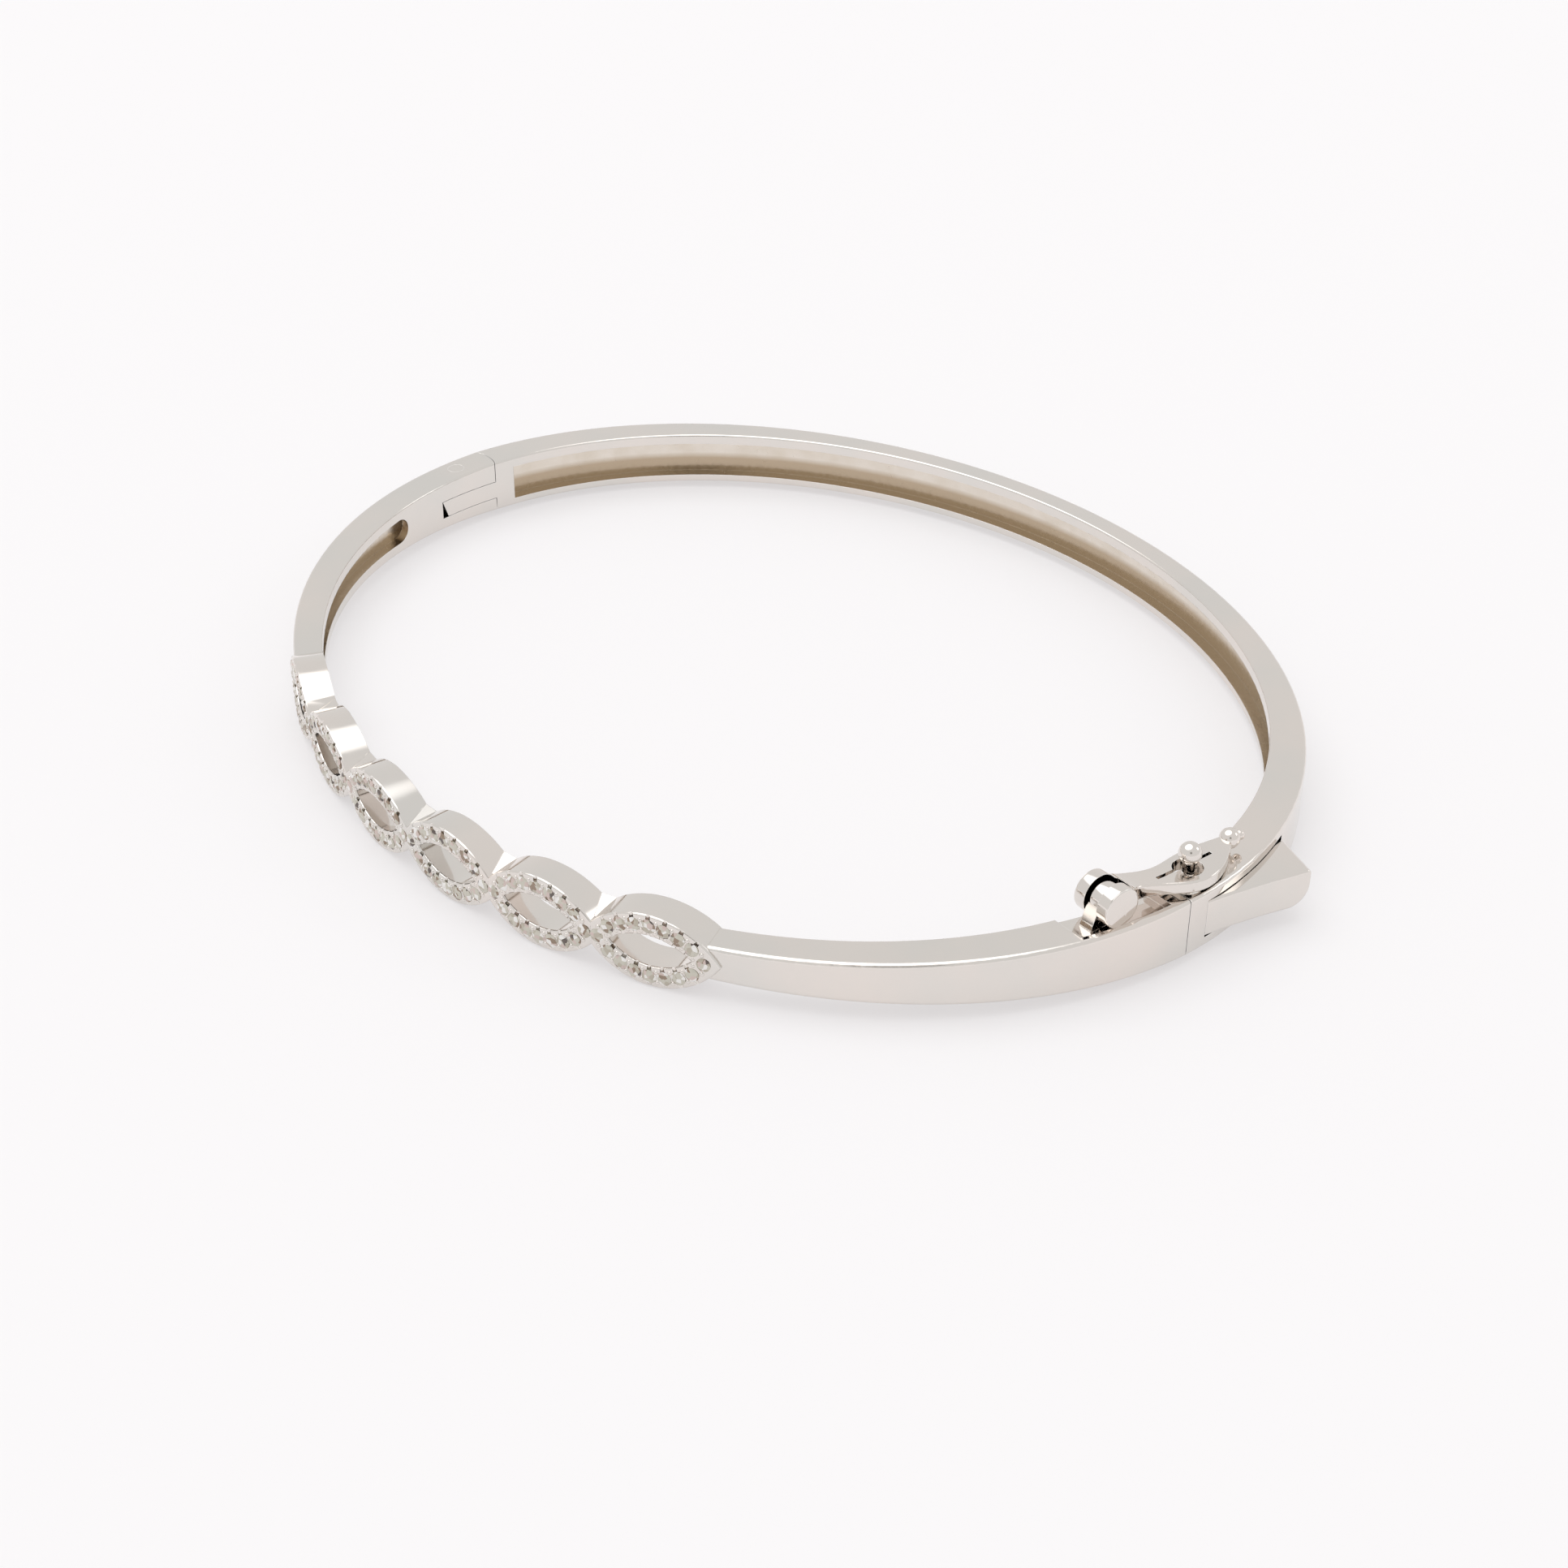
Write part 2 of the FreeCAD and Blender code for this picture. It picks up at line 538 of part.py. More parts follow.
for number in range(link_count):
    tag = str(number + 1)
    angle = middles[number]
    ends = [dim["link_start"] + dim["link_pitch"] * (number + step) for step in (0, 1)]
    if number == 0:
        ends[0] -= dim["arm_lap"]
    if number == link_count - 1:
        ends[1] += dim["arm_lap"]
    wedge = coded("wedge_" + tag, sector(station(ends[0]), station(ends[1])))
    outline = coded("outline_" + tag, lens(0, angle))
    window = coded("window_" + tag, lens(dim["link_rim"], angle))
    stones, grooves = [], []
    for spot in stone_spots():
        depth = dim["link_proud"] - surface_drop(spot[0], angle) - dim["girdle"]
        stones.append(stone(spot, angle, depth))
        if abs(spot[1]) > dim["stone_r"]:
            grooves.append(groove(spot, angle, depth))
    gems = coded("stones_" + tag, Part.makeCompound(stones))
    frame = cut("frame_" + tag, common("solid_" + tag, link_ring, wedge, outline), window)
    eased = soften("eased_" + tag, frame, link_edges)
    clear = cut("clear_" + tag, eased, bridges)
    grooved = cut("grooved_" + tag, clear, coded("grooves_" + tag, Part.makeCompound(grooves)))
    piece("link_" + tag, cut("link_" + tag, grooved, gems))
    piece("stones_" + tag, gems)


# ---------------------------------------------------------------- safety catch
CX, CY, CZ = "dims.catch_x", "-dims.catch_y", "dims.catch_z"
post_side = [(-dim["catch_y"] + side * half, z) for side, half, z in
             ((-1, dim["post_foot"], dim["seat_z"]), (1, dim["post_foot"], dim["seat_z"]),
              (1, dim["knuckle_r"], dim["catch_z"]), (-1, dim["knuckle_r"], dim["catch_z"]))]
post_block = coded("post_block", side_prism(post_side, dim["catch_x"] - dim["knuckle_half"],
                                            dim["catch_x"] + dim["knuckle_half"]))
post_knuckle = across("post_knuckle", "dims.knuckle_r", CX + " - dims.knuckle_half",
                      CX + " + dims.knuckle_half", CY, CZ)
post_bore = across("post_bore", "dims.catch_pin_r", CX + " - 2", CX + " + 2", CY, CZ)
piece("catch_post", cut("catch_post", fuse("post_solid", post_block, post_knuckle), post_bore))
piece("catch_pin", across("catch_pin", "dims.catch_pin_r", CX + " - dims.catch_pin_half",
                          CX + " + dims.catch_pin_half", CY, CZ))

# Plan of the latch plate, pin end first: its outer side, over the front of the band, and
# its inner side.
plate_outer = ((30.16, -3.40), (30.0, -2.60), (29.58, -1.90), (29.68, -1.20), (30.15, -0.30),
               (30.60, 0.50), (30.83, 1.50), (30.55, 2.70), (29.92, 3.80), (29.32, 4.60))
plate_inner = ((28.0, -3.40), (28.05, -2.40), (28.2, -1.50), (28.42, -0.80), (28.56, 0.0),
               (28.50, 0.90), (28.42, 1.80), (28.46, 2.80), (28.58, 3.70), (28.72, 4.60))
# Side profile of its top, down from the knuckle and then nearly level, and of its
# underside at the knuckle, where it turns up to meet the ears.
plate_slope = ((-2.69, 3.06), (-2.05, 2.68), (-1.10, 2.50), (0.50, 2.44), (2.60, 2.46), (5.0, 2.50))
plate_root = ((-2.0, 1.8), (-2.69, 1.66), (-3.4, 2.0), (-3.4, 2.7))
PLATE_LOW, PLATE_HIGH, PLATE_REACH = 1.0, 4.0, 3.0


def spline(spots):
    curve = Part.BSplineCurve()
    curve.interpolate(spots)
    return curve.toShape()


def plate_plan():
    """Figure-8 outline with smooth sides, run up past the top of the plate."""
    sides = [spline([FreeCAD.Vector(x, y, PLATE_LOW) for x, y in run])
             for run in (plate_outer, plate_inner)]
    ends = []
    for pick in (0, 1):
        ends.append(Part.makeLine(sides[0].Vertexes[pick].Point, sides[1].Vertexes[pick].Point))
    outline = Part.Wire(Part.__sortEdges__(sides + ends))
    return Part.Face(outline).extrude(FreeCAD.Vector(0, 0, PLATE_HIGH - PLATE_LOW))


def plate_side():
    """Side profile: level underside, top that flows down from the knuckle."""
    x = dim["catch_x"] - PLATE_REACH
    slope = spline([FreeCAD.Vector(x, y, z) for y, z in plate_slope])
    far_y = plate_slope[-1][0]
    corners = [FreeCAD.Vector(x, y, z) for y, z in
               (plate_slope[-1], (far_y, dim["plate_z"])) + plate_root + (plate_slope[0],)]
    lines = [Part.makeLine(start, end) for start, end in zip(corners, corners[1:])]
    outline = Part.Wire(Part.__sortEdges__([slope] + lines))
    return Part.Face(outline).extrude(FreeCAD.Vector(2 * PLATE_REACH, 0, 0))


def plate_edges(edge):
    """Softens the long edges of the plate, top and bottom."""
    spot = edge.valueAt((edge.FirstParameter + edge.LastParameter) / 2)
    return dim["plate_round"] if edge.Length > 5 and spot.y > -2 else 0


plate_blank = common("plate_blank", coded("plate_plan", plate_plan()), coded("plate_side", plate_side()))
plate = soften("plate", plate_blank, plate_edges)
ears = []
for side, low, high in (("front", " + dims.ear_in", " + dims.ear_out"),
                        ("back", " - dims.ear_out", " - dims.ear_in")):
    ears.append(across("ear_" + side, "dims.ear_disc_r", CX + low, CX + high, CY, CZ))
bead = bound("Part::Sphere", "bead", {
    "Radius": "dims.bead_r", "Placement.Base.x": "dims.bead_x",
    "Placement.Base.y": "dims.bead_y", "Placement.Base.z": "dims.bead_z"})
tip = bound("Part::Sphere", "tip", {
    "Radius": "dims.tip_r", "Placement.Base.x": "dims.bead_x",
    "Placement.Base.y": "dims.tip_y", "Placement.Base.z": "dims.tip_z"})
fork_gap = box("fork_gap", (CX + " - dims.ear_in", CY + " - 1.3", "0"),
               (CX + " + dims.ear_in", CY + " + 1.15", "5"))
keyhole = upright("keyhole", "dims.keyhole_r", "dims.keyhole_x", "dims.keyhole_y", "1", "4")
slit = box("slit", ("dims.slit_x - dims.slit_half", "-dims.slit_y0", "1"),
           ("dims.slit_x + dims.slit_half", "dims.slit_y1", "4"))
latch_bore = across("latch_bore", "dims.catch_pin_r + dims.catch_pin_play",
                    CX + " - dims.catch_pin_half - 0.05", CX + " + dims.catch_pin_half + 0.05", CY, CZ)
latch_solid = fuse("latch_solid", plate, ears[0], ears[1], bead, tip)
piece("safety_latch", cut("safety_latch", latch_solid,
                          fuse("latch_cuts", fork_gap, keyhole, slit, latch_bore)))

# ---------------------------------------------------------------- check and write
doc.recompute()
for item in doc.Objects:
    if "Invalid" in item.State or "Error" in item.State:
        raise RuntimeError("object in error: " + item.Name)
for item in nodes:
    shape = item.Shape
    if shape.isNull() or not shape.isValid() or not shape.Solids:
        raise RuntimeError("bad shape: " + item.Label)

os.makedirs("parts", exist_ok=True)
for item in nodes:
    item.Shape.exportStep("parts/%s.step" % item.Label)
    print(item.Label, len(item.Shape.Solids), round(item.Shape.Volume, 3))
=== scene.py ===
import itertools
import json
import math

import bmesh
import bpy
from mathutils import Matrix, Vector


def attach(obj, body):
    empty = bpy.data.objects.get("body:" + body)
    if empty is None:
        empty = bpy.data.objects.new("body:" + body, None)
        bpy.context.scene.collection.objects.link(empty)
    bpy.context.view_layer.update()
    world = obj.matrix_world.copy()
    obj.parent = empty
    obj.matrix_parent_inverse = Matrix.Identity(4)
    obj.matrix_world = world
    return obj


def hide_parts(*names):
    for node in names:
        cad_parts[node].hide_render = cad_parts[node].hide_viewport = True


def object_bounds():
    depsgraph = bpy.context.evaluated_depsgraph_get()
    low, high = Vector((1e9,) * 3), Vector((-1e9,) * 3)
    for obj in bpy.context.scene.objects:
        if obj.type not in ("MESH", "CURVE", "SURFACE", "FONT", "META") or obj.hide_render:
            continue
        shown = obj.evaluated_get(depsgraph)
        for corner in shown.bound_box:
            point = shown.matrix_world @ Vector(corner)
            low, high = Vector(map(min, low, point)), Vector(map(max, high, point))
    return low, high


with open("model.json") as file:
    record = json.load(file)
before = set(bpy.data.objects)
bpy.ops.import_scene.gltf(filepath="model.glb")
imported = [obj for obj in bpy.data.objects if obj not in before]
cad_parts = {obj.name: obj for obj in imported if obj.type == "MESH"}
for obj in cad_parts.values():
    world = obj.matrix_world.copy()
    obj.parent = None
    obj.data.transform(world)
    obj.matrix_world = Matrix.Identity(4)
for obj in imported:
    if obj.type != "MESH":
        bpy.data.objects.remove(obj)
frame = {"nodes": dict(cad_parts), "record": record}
CAD_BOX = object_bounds()
MM = 0.001
LINKS = 6

# The bangle's inner oval, which the troughs are cut into, and how far out from it their walls
# reach.  Each trough has a mid height, a half height and a line in plan, given by its normal
# and its distance from the middle, that it lies beyond.
INNER_A, INNER_B = 28.7 * MM, 23.4 * MM
TROUGH_REACH = (1.0008, 1.04)
REAR_TROUGH = (-0.075 * MM, 1.085 * MM, (-0.1757, 1, 0), 5.84 * MM)
ARM_TROUGH = (0.0, 0.77 * MM, (0, -1, 0), 6.5 * MM)

# Camera: turn about +Z from -Y, angle above the floor, tilt, what it looks at and from how far.
AZIMUTH, ELEVATION, ROLL = math.radians(52.3), math.radians(32.44), math.radians(0.43)
TARGET = Vector((9.47, -7.03, 0)) * MM
DISTANCE, LENS, SENSOR, NEAR_CLIP = 129.6 * MM, 58.44, 36, 1 * MM


# ---------------------------------------------------------------- node helpers
def node(tree, kind, inputs=None, **settings):
    """Adds a shader node; an input may be a value or another node's socket."""
    item = tree.nodes.new("ShaderNode" + kind)
    for name, value in settings.items():
        setattr(item, name, value)
    for name, value in (inputs or {}).items():
        if isinstance(value, bpy.types.NodeSocket):
            tree.links.new(value, item.inputs[name])
        else:
            item.inputs[name].default_value = value
    return item


def blend_colour(tree, amount, first, second):
    """Mixes two colours, each given as a value or a socket."""
    item = node(tree, "MixRGB", {"Fac": amount, "Color1": first, "Color2": second})
    return item.outputs["Color"]


def ramp(tree, value, low, high, start=0.0, end=1.0):
    """Maps low..high of a socket onto start..end, clamped."""
    item = node(tree, "MapRange", {"Value": value, "From Min": low, "From Max": high,
                                   "To Min": start, "To Max": end})
    return item.outputs["Result"]


def noise(tree, coords, scale, detail=2.0):
    """Soft random value, scale in cells per metre."""
    item = node(tree, "TexNoise", {"Vector": coords, "Scale": scale, "Detail": detail})
    return item.outputs["Fac"]


def new_material(name):
    """A material with its node tree and its Principled shader."""
    mat = bpy.data.materials.new(name)
    mat.use_nodes = True
    shader = mat.node_tree.nodes["Principled BSDF"]
    return mat, mat.node_tree, shader


# ---------------------------------------------------------------- metals
RHODIUM = (0.79, 0.735, 0.69, 1)
RHODIUM_COOL = (0.74, 0.715, 0.68, 1)
# Painted highlight: the brighter colour given to metal edges.
PAINTED_EDGE_HIGHLIGHT = (0.93, 0.91, 0.885, 1)
CAST_PALE = (0.79, 0.73, 0.66, 1)
CAST_TAN = (0.71, 0.64, 0.55, 1)
CAST_DARK = (0.50, 0.40, 0.29, 1)
CAST_FLOOR = (0.62, 0.54, 0.43, 1)
# Heights between which the trough turns darker towards the bottom.
DARKENING_TOP, DARKENING_FULL = 0.1 * MM, -0.3 * MM
PIT_STRENGTH, PIT_DEPTH = 0.35, 0.02 * MM
HAIRLINE_DEPTH = 0.002 * MM
HAIRLINE_CELLS = (500, 500, 9000)


def trough_mask(tree, coords, trough):
    """1 on the walls of a trough in the inner face, 0 elsewhere."""
    middle, half, way, start = trough
    flat = node(tree, "VectorMath", {0: coords, 1: (1 / INNER_A, 1 / INNER_B, 0)}, operation="MULTIPLY")
    reach = node(tree, "VectorMath", {0: flat.outputs[0]}, operation="LENGTH").outputs["Value"]
    height = node(tree, "SeparateXYZ", {"Vector": coords}).outputs["Z"]
    beyond = node(tree, "Math", {0: reach, 1: TROUGH_REACH[0]}, operation="GREATER_THAN")
    within = node(tree, "Math", {0: reach, 1: TROUGH_REACH[1]}, operation="LESS_THAN")
    level = node(tree, "Math", {0: height, 1: middle, 2: half}, operation="COMPARE")
    both = node(tree, "Math", {0: beyond.outputs[0], 1: within.outputs[0]}, operation="MULTIPLY")
    every = node(tree, "Math", {0: both.outputs[0], 1: level.outputs[0]}, operation="MULTIPLY")
    along = node(tree, "VectorMath", {0: coords, 1: way}, operation="DOT_PRODUCT").outputs["Value"]
    past = node(tree, "Math", {0: along, 1: start}, operation="GREATER_THAN")
    return node(tree, "Math", {0: every.outputs[0], 1: past.outputs[0]}, operation="MULTIPLY").outputs[0]


def cast_skin(tree, coords, mask, polish):
    """As-cast skin where mask is 1: pale above, darker towards the bottom, browner on up-facing faces, with
    fine pits.
    """
    colour, roughness, normal = polish
    facing = node(tree, "NewGeometry").outputs["Normal"]
    up = node(tree, "SeparateXYZ", {"Vector": facing}).outputs["Z"]
    height = node(tree, "SeparateXYZ", {"Vector": coords}).outputs["Z"]
    grain = noise(tree, coords, 3200, 5)
    stain = noise(tree, coords, 700, 4)

    cast = blend_colour(tree, ramp(tree, stain, 0.3, 0.7), CAST_PALE, CAST_TAN)
    # Darker towards the bottom; up-facing faces browner.
    cast = blend_colour(tree, ramp(tree, height, DARKENING_TOP, DARKENING_FULL), cast, CAST_DARK)
    cast = blend_colour(tree, ramp(tree, up, 0.3, 0.7), cast, CAST_FLOOR)
    pitted = ramp(tree, grain, 0.2, 0.8, 0.14, 0.30)
    pits = node(tree, "Math", {0: grain, 1: mask}, operation="MULTIPLY")
    bump = node(tree, "Bump", {"Height": pits.outputs[0], "Strength": PIT_STRENGTH,
                               "Distance": PIT_DEPTH, "Normal": normal})
    return (blend_colour(tree, mask, colour, cast),
            node(tree, "Mix", {0: mask, 2: roughness, 3: pitted}).outputs[0],
            bump.outputs["Normal"])


def polished(name, rough, hairline, edge, trough=None):
    """Rhodium-plated silver: polish haze, hairlines along the band, and a painted highlight, edges coloured
    brighter where the softened normal bends.
    """
    mat, tree, shader = new_material(name)
    shader.inputs["Metallic"].default_value = 1.0
    coords = node(tree, "TexCoord").outputs["Object"]
    clouds = noise(tree, coords, 160, 3)
    haze = noise(tree, coords, 900, 4)
    streaks = node(tree, "Mapping", {"Vector": coords, "Scale": HAIRLINE_CELLS}).outputs[0]
    lines = noise(tree, streaks, 1.0, 3)

    soft = node(tree, "Bevel", {"Radius": edge}, samples=4)
    bump = node(tree, "Bump", {"Height": lines, "Strength": hairline, "Distance": HAIRLINE_DEPTH,
                               "Normal": soft.outputs["Normal"]})
    normal = bump.outputs["Normal"]

    facing = node(tree, "NewGeometry").outputs["Normal"]
    same = node(tree, "VectorMath", {0: soft.outputs["Normal"], 1: facing}, operation="DOT_PRODUCT")
    # Painted highlight: at edges, where the softened normal leaves the true one, the colour turns brighter.
    painted_edge_highlight = ramp(tree, same.outputs["Value"], 0.995, 0.9)
    colour = blend_colour(tree, ramp(tree, clouds, 0.35, 0.65), RHODIUM, RHODIUM_COOL)
    colour = blend_colour(tree, painted_edge_highlight, colour, PAINTED_EDGE_HIGHLIGHT)
    roughness = ramp(tree, haze, 0.3, 0.7, rough * 0.6, rough * 1.5)

    if trough:
        mask = trough_mask(tree, coords, trough)
        colour, roughness, normal = cast_skin(tree, coords, mask, (colour, roughness, normal))

    tree.links.new(colour, shader.inputs["Base Color"])
    tree.links.new(roughness, shader.inputs["Roughness"])
    tree.links.new(normal, shader.inputs["Normal"])
    return mat


METALS = {
    "rear_metal": polished("rear_rhodium", 0.07, 0.10, 0.05 * MM, REAR_TROUGH),
    "arm_metal": polished("hinge_arm_rhodium", 0.07, 0.10, 0.05 * MM, ARM_TROUGH),
    "band_metal": polished("band_rhodium", 0.07, 0.10, 0.05 * MM),
    "link_metal": polished("link_rhodium", 0.09, 0.14, 0.04 * MM),
    "catch_metal": polished("catch_rhodium", 0.05, 0.05, 0.04 * MM),
}
METAL_OF_NODE = {
    "rear_band": "rear_metal", "hinge_arm": "arm_metal", "hinge_rivet": "band_metal",
    "clasp_arm": "band_metal", "ball_stud": "catch_metal", "catch_post": "catch_metal",
    "catch_pin": "catch_metal", "safety_latch": "catch_metal", "leaf_root": "band_metal",
    "spring_leaf": "band_metal", "thumb_tab": "band_metal",
}


def dress_nodes():
    """Gives every CAD node its metal; the links share one."""
    for name, obj in frame["nodes"].items():
        obj.data.materials.clear()
        obj.data.materials.append(METALS[METAL_OF_NODE.get(name, "link_metal")])


# ---------------------------------------------------------------- mesh helpers
def ring(count, radius, height, turn=0.0):
    """Points evenly round +Z, the first one turned by a part of a step."""
    spots = []
    for step in range(count):
        angle = 2 * math.pi * (step + turn) / count
        spots.append(Vector((radius * math.cos(angle), radius * math.sin(angle), height)))
    return spots


def upright_turn(axis, spin=0.0):
    """Rotation that takes +Z to an axis, after a turn about +Z."""
    return axis.to_track_quat("Z", "Y").to_matrix().to_4x4() @ Matrix.Rotation(spin, 4, "Z")


def finished_mesh(shape, name, material, smooth):
    """Turns a bmesh into an object in the scene."""
    mesh = bpy.data.meshes.new(name)
    shape.to_mesh(mesh)
    shape.free()
    mesh.materials.append(material)
    for face in mesh.polygons:
        face.use_smooth = smooth
    obj = bpy.data.objects.new(name, mesh)
    bpy.context.collection.objects.link(obj)
    return obj


# ---------------------------------------------------------------- stones
# Painted reflections: where each tone of a stone's flashing facets starts, and its colour.
PAINTED_FLASH_TONES = (
    (0.00, (0.62, 0.59, 0.50, 1)),
    (0.34, (0.66, 0.53, 0.48, 1)),
    (0.50, (0.93, 0.91, 0.88, 1)),
    (0.66, (0.50, 0.45, 0.36, 1)),
    (0.80, (0.27, 0.18, 0.11, 1)),
    (0.95, (0.07, 0.04, 0.025, 1)),
)
# Size of the painted reflection cells, in cells per metre.
PAINTED_FLASH_CELLS = 4600
ZIRCONIA_IOR = 2.15
WELD = 0.002 * MM


def clear_stone():
    """Cubic zirconia with painted reflections: a mosaic of cells coloured pale, pink, white and dark as
    facet flashes.
    """
    mat, tree, shader = new_material("clear_zirconia")
    coords = node(tree, "TexCoord").outputs["Object"]
    cells = node(tree, "TexVoronoi", {"Vector": coords, "Scale": PAINTED_FLASH_CELLS})
    pick = node(tree, "SeparateColor", {"Color": cells.outputs["Color"]}).outputs[0]
    painted_flashes = node(tree, "ValToRGB", {"Fac": pick})
    bands = painted_flashes.color_ramp
    bands.interpolation = "CONSTANT"
    for place, _ in PAINTED_FLASH_TONES[2:]:
        bands.elements.new(place)
    for element, (place, colour) in zip(bands.elements, PAINTED_FLASH_TONES):
        element.position = place
        element.color = colour
    tree.links.new(painted_flashes.outputs["Color"], shader.inputs["Base Color"])
    roughness = ramp(tree, noise(tree, coords, 3000), 0.3, 0.7, 0.02, 0.08)
    tree.links.new(roughness, shader.inputs["Roughness"])
    shader.inputs["Metallic"].default_value = 0.2
    shader.inputs["Transmission Weight"].default_value = 0.15
    shader.inputs["IOR"].default_value = ZIRCONIA_IOR
    return mat


def stone_seats(number):
    """Centre, axis, radius, crown and depth of each CAD stone of a link, in ring order."""
    shape = bmesh.new()
    shape.from_mesh(frame["nodes"]["stones_%d" % number].data)
    bmesh.ops.remove_doubles(shape, verts=shape.verts, dist=WELD)
    left = set(shape.verts)
    islands = []
    while left:
        stack, island = [left.pop()], []
        while stack:
            vert = stack.pop()
            island.append(vert.co.copy())
            for edge in vert.link_edges:
                other = edge.other_vert(vert)
                if other in left:
                    left.remove(other)
                    stack.append(other)
        islands.append(island)
    shape.free()
    axis = outward(islands)
    seats = [seat_of(island, axis) for island in islands]
    hub = sum((seat["centre"] for seat in seats), Vector()) / len(seats)
    along = Vector((0, 0, 1)).cross(seats[0]["axis"])
    seats.sort(key=lambda seat: math.atan2((seat["centre"] - hub).z, (seat["centre"] - hub).dot(along)))
    return seats


def middle_of(points):
    """Mean of some points."""
    return sum(points, Vector()) / len(points)


def outward(islands):
    """Direction a link faces: level, and square to the line between its two end stones."""
    middles = [middle_of(island) for island in islands]
    first, last = max(itertools.combinations(middles, 2), key=lambda pair: (pair[0] - pair[1]).length)
    axis = (last - first).cross(Vector((0, 0, 1))).normalized()
    return axis if axis.dot(first) > 0 else -axis


def seat_of(points, axis):
    """Reads a stone's girdle, radius and heights off its corner points."""
    middle = middle_of(points)
    heights = [(point - middle).dot(axis) for point in points]
    widths = [(point - middle - axis * height).length for point, height in zip(points, heights)]
    radius = max(widths)
    girdle = min(height for height, width in zip(heights, widths) if width > 0.98 * radius)
    return {"centre": middle + axis * girdle, "axis": axis, "radius": radius,
            "crown": max(heights) - girdle, "deep": girdle - min(heights)}


def brilliant(radius, crown, deep):
    """Corner points of a round brilliant: table, crown break, girdle, pavilion break, culet."""
    girdle = 0.12 * crown
    spots = ring(8, 0.56 * radius, crown)
    spots += ring(8, 0.81 * radius, 0.60 * crown, 0.5)
    spots += ring(16, radius, girdle) + ring(16, radius, -girdle)
    spots += ring(8, 0.50 * radius, -0.56 * deep, 0.5)
    spots.append(Vector((0, 0, -deep)))
    return spots


# Each stone is turned on from the last by the golden angle, so no two face alike.
GOLDEN_TURN = 2.399963
GEM_SPREAD, GEM_LIFT, GEM_DEEP = 1.1, 0.05 * MM, 0.9


def gems(number, seats, material):
    """Faceted stones of one link, in place of the plain CAD ones."""
    shape = bmesh.new()
    for place, seat in enumerate(seats):
        # The girdle sits on the metal around its seat; the table keeps the CAD stone's height.
        points = brilliant(GEM_SPREAD * seat["radius"], seat["crown"] - GEM_LIFT, GEM_DEEP * seat["deep"])
        lift = seat["centre"] + seat["axis"] * GEM_LIFT
        move = Matrix.Translation(lift) @ upright_turn(seat["axis"], GOLDEN_TURN * place)
        verts = [shape.verts.new(move @ point) for point in points]
        bmesh.ops.convex_hull(shape, input=verts)
    bmesh.ops.recalc_face_normals(shape, faces=shape.faces)
    obj = finished_mesh(shape, "gems_%d" % number, material, smooth=False)
    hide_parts("stones_%d" % number)
    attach(obj, "front_half")


def dome(shape, move, radius, height, foot, segments=12, rings=4):
    """Closed round-topped post whose base lies a given depth below the surface."""
    rows = [ring(segments, radius, -foot)]
    for step in range(rings):
        turn = 0.5 * math.pi * step / rings
        rows.append(ring(segments, radius * math.cos(turn), height * math.sin(turn)))
    rows = [[shape.verts.new(move @ spot) for spot in row] for row in rows]
    for low, high in zip(rows, rows[1:]):
        for step in range(segments):
            after = (step + 1) % segments
            shape.faces.new((low[step], low[after], high[after], high[step]))
    top = shape.verts.new(move @ Vector((0, 0, height)))
    for step in range(segments):
        shape.faces.new((rows[-1][step], rows[-1][(step + 1) % segments], top))
    shape.faces.new(list(reversed(rows[0])))


PRONG_R, PRONG_HIGH, PRONG_FOOT = 0.125 * MM, 0.10 * MM, 0.2 * MM
PRONG_OFFSET, PRONG_LIFT = 0.285 * MM, 0.02 * MM


def prongs(number, seats, material):
    """Shared prongs: two domed posts between each stone and the next, inside and outside."""
    shape = bmesh.new()
    for seat, after in zip(seats, seats[1:] + seats[:1]):
        middle = (seat["centre"] + after["centre"]) / 2
        axis = (seat["axis"] + after["axis"]).normalized()
        across = axis.cross(after["centre"] - seat["centre"]).normalized()
        for side in (-1, 1):
            spot = middle + across * side * PRONG_OFFSET + axis * PRONG_LIFT
            dome(shape, Matrix.Translation(spot) @ upright_turn(axis), PRONG_R, PRONG_HIGH, PRONG_FOOT)
    bmesh.ops.recalc_face_normals(shape, faces=shape.faces)
    obj = finished_mesh(shape, "prongs_%d" % number, material, smooth=True)
    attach(obj, "front_half")


# ---------------------------------------------------------------- knuckle of the safety catch
EAR_IN, EAR_OUT, EAR_R, EAR_RIM = 0.43 * MM, 1.11 * MM, 1.03 * MM, 0.14 * MM
EAR_BORE, BORE_END = 0.33 * MM, 0.9 * MM
KNUCKLE_HALF, KNUCKLE_R, KNUCKLE_RIM = 0.385 * MM, 0.81 * MM, 0.06 * MM
SHARP_ANGLE = math.radians(40)


def rounded_rim(reach, radius, rim, steps=5):
    """Quarter round (x, r) from a barrel's side to its end face."""
    turns = [0.5 * math.pi * step / steps for step in range(steps + 1)]
    return [(reach - rim + rim * math.sin(turn), radius - rim + rim * math.cos(turn)) for turn in turns]


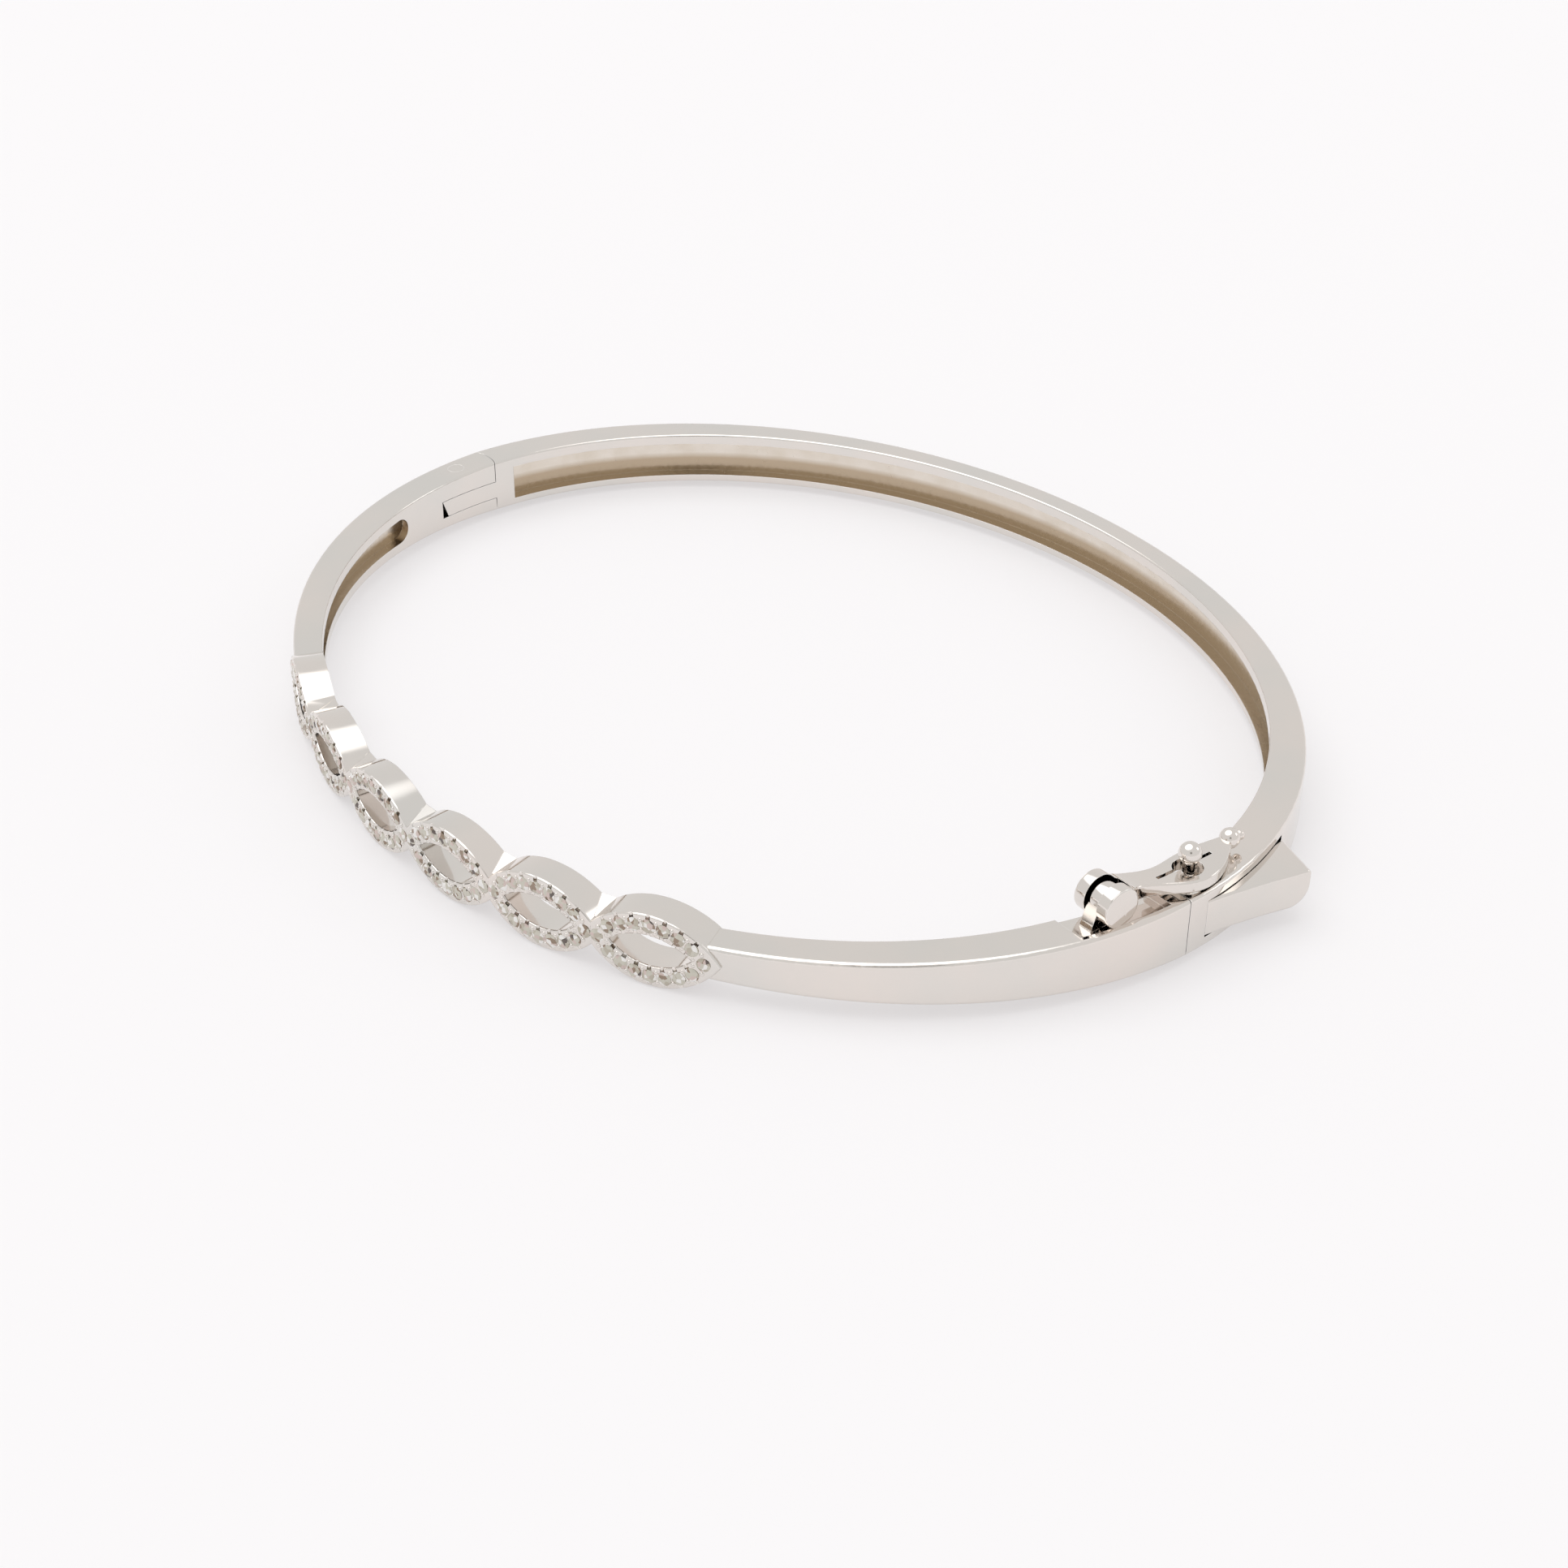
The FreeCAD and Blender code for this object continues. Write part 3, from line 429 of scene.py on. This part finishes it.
def barrel(name, profile, side, body, segments=64):
    """Turned part about the catch's pin: an (x, r) profile that starts and ends on the axis."""
    pivot = catch_pivot()
    shape = bmesh.new()
    rows = []
    for x, radius in profile:
        here = pivot + Vector((side * x, 0, 0))
        if radius == 0:
            rows.append([shape.verts.new(here)])
            continue
        turns = [2 * math.pi * step / segments for step in range(segments)]
        rows.append([shape.verts.new(here + Vector((0, radius * math.cos(turn), radius * math.sin(turn))))
                     for turn in turns])
    for low, high in zip(rows, rows[1:]):
        for step in range(segments):
            corners = [row[place % len(row)] for row, place in
                       ((low, step), (low, step + 1), (high, step + 1), (high, step))]
            shape.faces.new(list(dict.fromkeys(corners)))
    bmesh.ops.recalc_face_normals(shape, faces=shape.faces)
    obj = finished_mesh(shape, name, METALS["catch_metal"], smooth=True)
    obj.data.set_sharp_from_angle(angle=SHARP_ANGLE)
    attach(obj, body)


def catch_pivot():
    """Where the safety catch turns, from the record."""
    joints = frame["record"]["behaviour"]["joints"]
    return next(Vector(joint["pos_m"]) for joint in joints if joint["name"] == "safety_catch_lift")


def knuckle():
    """Ears of the latch and the post's knuckle between them, with rounded rims."""
    ear = [(BORE_END, 0), (BORE_END, EAR_BORE), (EAR_IN, EAR_BORE), (EAR_IN, EAR_R)]
    ear += rounded_rim(EAR_OUT, EAR_R, EAR_RIM) + [(EAR_OUT, 0)]
    barrel("ear_front", ear, 1, "safety_catch")
    barrel("ear_back", ear, -1, "safety_catch")
    end = rounded_rim(KNUCKLE_HALF, KNUCKLE_R, KNUCKLE_RIM)
    middle = [(-KNUCKLE_HALF, 0)] + [(-x, radius) for x, radius in reversed(end)] + end + [(KNUCKLE_HALF, 0)]
    barrel("post_knuckle", middle, 1, "front_half")


# ---------------------------------------------------------------- floor, light, camera
FLOOR_HALF, FLOOR_DROP = 3.0, 0.02 * MM
PAPER, PAPER_GLOW = (0.44, 0.435, 0.438, 1), (0.465, 0.455, 0.46, 1)
TENT, LAMP, OPENING = (0.82, 0.815, 0.81, 1), (2.0, 2.0, 2.0, 1), (0.30, 0.29, 0.28, 1)
PANEL_WAY, STRIP_WAY = (-0.25, -0.15, 0.956), (0.37, 0.80, 0.47)


def floor():
    """Pale paper lit from below, a hair under the bangle."""
    half = FLOOR_HALF
    low = CAD_BOX[0].z - FLOOR_DROP
    shape = bmesh.new()
    corners = [(-half, -half, low), (half, -half, low), (half, half, low), (-half, half, low)]
    shape.faces.new([shape.verts.new(corner) for corner in corners])
    mat, tree, shader = new_material("pale_paper")
    shader.inputs["Base Color"].default_value = PAPER
    shader.inputs["Emission Color"].default_value = PAPER_GLOW
    shader.inputs["Emission Strength"].default_value = 1.0
    shader.inputs["Roughness"].default_value = 0.7
    shader.inputs["Specular IOR Level"].default_value = 0.2
    finished_mesh(shape, "floor", mat, smooth=False)


def camera_back():
    """Unit vector from what the camera looks at to the camera."""
    return Vector((math.sin(AZIMUTH) * math.cos(ELEVATION), -math.cos(AZIMUTH) * math.cos(ELEVATION),
                   math.sin(ELEVATION)))


def lobe(tree, direction, toward, inner, outer):
    """1 within inner degrees of a direction, falling to 0 at outer degrees."""
    dot = node(tree, "VectorMath", {0: direction, 1: toward}, operation="DOT_PRODUCT")
    return ramp(tree, dot.outputs["Value"], math.cos(math.radians(outer)), math.cos(math.radians(inner)))


def studio():
    """Pale light tent with a bright panel overhead, a small bright strip and a grey opening."""
    world = bpy.data.worlds.new("studio")
    bpy.context.scene.world = world
    world.use_nodes = True
    tree = world.node_tree
    direction = node(tree, "TexCoord").outputs["Generated"]
    panel = lobe(tree, direction, PANEL_WAY, 27, 34)
    strip = lobe(tree, direction, STRIP_WAY, 7, 11)
    opening = lobe(tree, direction, tuple(camera_back()), 7, 13)
    colour = blend_colour(tree, panel, TENT, LAMP)
    colour = blend_colour(tree, strip, colour, LAMP)
    colour = blend_colour(tree, opening, colour, OPENING)
    tree.links.new(colour, tree.nodes["Background"].inputs["Color"])
    tree.nodes["Background"].inputs["Strength"].default_value = 1.0
    bpy.context.scene.view_settings.view_transform = "Standard"


def camera():
    """Camera on the photo's side, a little rolled."""
    data = bpy.data.cameras.new("camera")
    data.sensor_width = SENSOR
    data.lens = LENS
    data.clip_start = NEAR_CLIP
    obj = bpy.data.objects.new("camera", data)
    bpy.context.collection.objects.link(obj)
    back = camera_back()
    right = Vector((0, 0, 1)).cross(back).normalized()
    up = back.cross(right)
    right_rolled = right * math.cos(ROLL) + up * math.sin(ROLL)
    up_rolled = up * math.cos(ROLL) - right * math.sin(ROLL)
    turn = Matrix((right_rolled, up_rolled, back)).transposed().to_4x4()
    obj.matrix_world = Matrix.Translation(TARGET + back * DISTANCE) @ turn
    bpy.context.scene.camera = obj


dress_nodes()
stone_material = clear_stone()
for number in range(1, LINKS + 1):
    seats = stone_seats(number)
    gems(number, seats, stone_material)
    prongs(number, seats, METALS["link_metal"])
knuckle()
floor()
studio()
camera()
